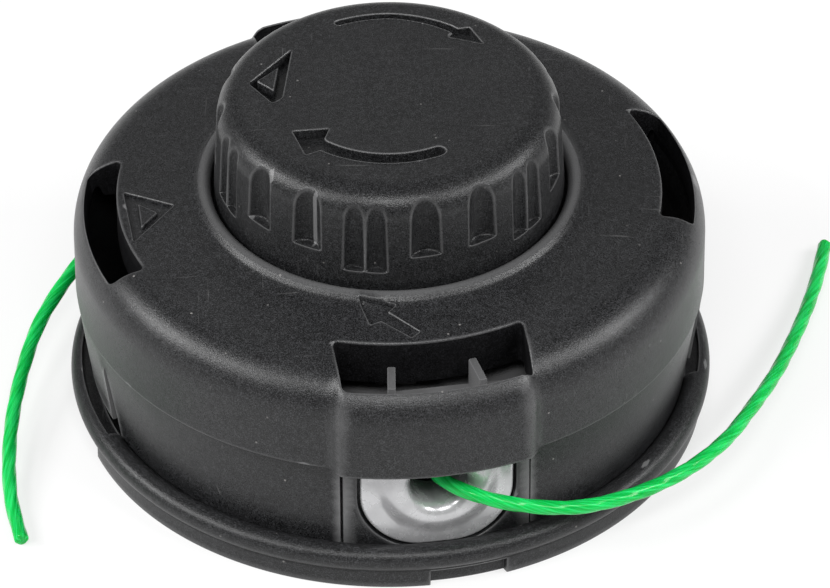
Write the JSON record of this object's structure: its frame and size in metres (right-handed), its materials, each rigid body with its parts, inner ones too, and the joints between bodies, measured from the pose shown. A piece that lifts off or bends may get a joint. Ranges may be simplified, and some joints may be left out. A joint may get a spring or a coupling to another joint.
{
  "type": "bump feed trimmer head",
  "caption": "Round bump feed trimmer head with clip-on cover, fluted winding knob, sprung spool, metal eyelets and twisted green cutting line.",
  "frame": {"origin": "on the drive axis at the level of the flange's lower rim, where the head rests", "axes": "+Z along the drive axis towards the knob; the front eyelet faces 9.2 degrees past -Y towards +X"},
  "size_m": [0.1376, 0.1064, 0.0604],
  "materials": {
    "black_nylon": "satin, finely grained",
    "knob_nylon": "satin, finely grained",
    "spool_nylon": "matte",
    "eyelet_metal": "polished",
    "steel": "plain",
    "line": "glossy, slightly translucent"
  },
  "bodies": {
    "root": {"housing": "black_nylon", "arbor_insert": "steel", "eyelet_front": "eyelet_metal", "eyelet_rear": "eyelet_metal", "spring_seat": "steel", "spring": "steel", "cover": "black_nylon", "line_tail_front": "line", "line_tail_rear": "line"},
    "bump": {"spring_washer": "steel"},
    "reel": {"spool": "spool_nylon", "wound_line": "line", "knob": "knob_nylon"}
  },
  "joints": [
    {"name": "bump_slide", "type": "slide", "parent": "root", "child": "bump", "axis": [0, 0, -1], "range_m": [0, 0.0045], "stiffness_N_per_m": 1500, "springref_m": -0.004, "deforming": ["spring"]},
    {"name": "reel_spin", "type": "hinge", "parent": "bump", "child": "reel", "pos_m": [0, 0, 0.02], "axis": [0, 0, -1], "continuous": true}
  ]
}
